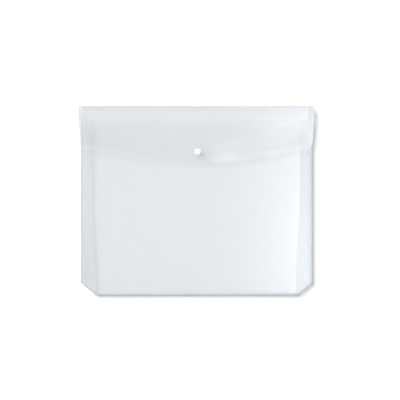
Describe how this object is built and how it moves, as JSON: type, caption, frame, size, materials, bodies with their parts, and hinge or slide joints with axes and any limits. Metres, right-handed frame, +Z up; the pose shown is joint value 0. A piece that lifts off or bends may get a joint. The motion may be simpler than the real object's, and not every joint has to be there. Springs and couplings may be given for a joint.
{
  "type": "plastic envelope",
  "caption": "Frosted plastic document envelope with a snap-closed flap, folded side gussets and a folding base with cut corners.",
  "frame": {"origin": "middle of the footprint, on the surface that the back panel lies on", "axes": "+X along the flap fold to the right, +Y in the panel's plane towards the flap fold, +Z up out of the back panel towards the flap"},
  "size_m": [0.316, 0.254, 0.0108],
  "materials": {
    "frosted_sheet": "fine frosted polypropylene sheet, see-through as a pale haze",
    "pressed_crease": "the same sheet pressed thin into a living hinge",
    "white_snap": "opaque white moulded plastic"
  },
  "bodies": {
    "back": {"back_panel": "frosted_sheet", "rear_crease": "pressed_crease"},
    "front": {"front_panel": "frosted_sheet", "snap_stud": "white_snap", "snap_post": "white_snap"},
    "left_rear_leaf": {"left_rear_gusset_leaf": "frosted_sheet"},
    "left_front_leaf": {"left_front_gusset_leaf": "frosted_sheet"},
    "right_rear_leaf": {"right_rear_gusset_leaf": "frosted_sheet"},
    "right_front_leaf": {"right_front_gusset_leaf": "frosted_sheet"},
    "rear_base": {"rear_base_leaf": "frosted_sheet"},
    "front_base": {"front_base_leaf": "frosted_sheet"},
    "spine": {"top_spine": "frosted_sheet", "flap_crease": "pressed_crease"},
    "flap": {"flap_panel": "frosted_sheet", "snap_cap": "white_snap", "snap_socket": "white_snap"}
  },
  "joints": [
    {"name": "pocket_expand", "type": "slide", "parent": "back", "child": "front", "axis": [0, 0, 1], "range_m": [0, 0.014]},
    {"name": "flap_fold", "type": "hinge", "parent": "spine", "child": "flap", "pos_m": [0, 0.12675, 0.00925], "axis": [-1, 0, 0], "range_deg": [0, 145]},
    {"name": "spine_tilt", "type": "hinge", "parent": "back", "child": "spine", "pos_m": [0, 0.12675, 0.00025], "axis": [-1, 0, 0], "range_deg": [0, 33]},
    {"name": "left_rear_leaf_fold", "type": "hinge", "parent": "back", "child": "left_rear_leaf", "pos_m": [-0.15475, -0.001, 0.00105], "axis": [0, -1, 0], "range_deg": [0, 26]},
    {"name": "left_front_leaf_fold", "type": "hinge", "parent": "front", "child": "left_front_leaf", "pos_m": [-0.15475, -0.001, 0.00595], "axis": [0, 1, 0], "range_deg": [0, 26]},
    {"name": "right_rear_leaf_fold", "type": "hinge", "parent": "back", "child": "right_rear_leaf", "pos_m": [0.15475, -0.001, 0.00105], "axis": [0, 1, 0], "range_deg": [0, 26]},
    {"name": "right_front_leaf_fold", "type": "hinge", "parent": "front", "child": "right_front_leaf", "pos_m": [0.15475, -0.001, 0.00595], "axis": [0, -1, 0], "range_deg": [0, 26]},
    {"name": "rear_base_fold", "type": "hinge", "parent": "back", "child": "rear_base", "pos_m": [0, -0.11, 0.00025], "axis": [-1, 0, 0], "range_deg": [0, 24]},
    {"name": "front_base_fold", "type": "hinge", "parent": "front", "child": "front_base", "pos_m": [0, -0.11, 0.00675], "axis": [1, 0, 0], "range_deg": [0, 24]}
  ],
  "couplings": [
    {"joint": "spine_tilt", "follows": "pocket_expand", "rad_per_m": 40},
    {"joint": "left_rear_leaf_fold", "follows": "pocket_expand", "rad_per_m": 31.5},
    {"joint": "left_front_leaf_fold", "follows": "pocket_expand", "rad_per_m": 31.5},
    {"joint": "right_rear_leaf_fold", "follows": "pocket_expand", "rad_per_m": 31.5},
    {"joint": "right_front_leaf_fold", "follows": "pocket_expand", "rad_per_m": 31.5},
    {"joint": "rear_base_fold", "follows": "pocket_expand", "rad_per_m": 29.4},
    {"joint": "front_base_fold", "follows": "pocket_expand", "rad_per_m": 29.4}
  ]
}
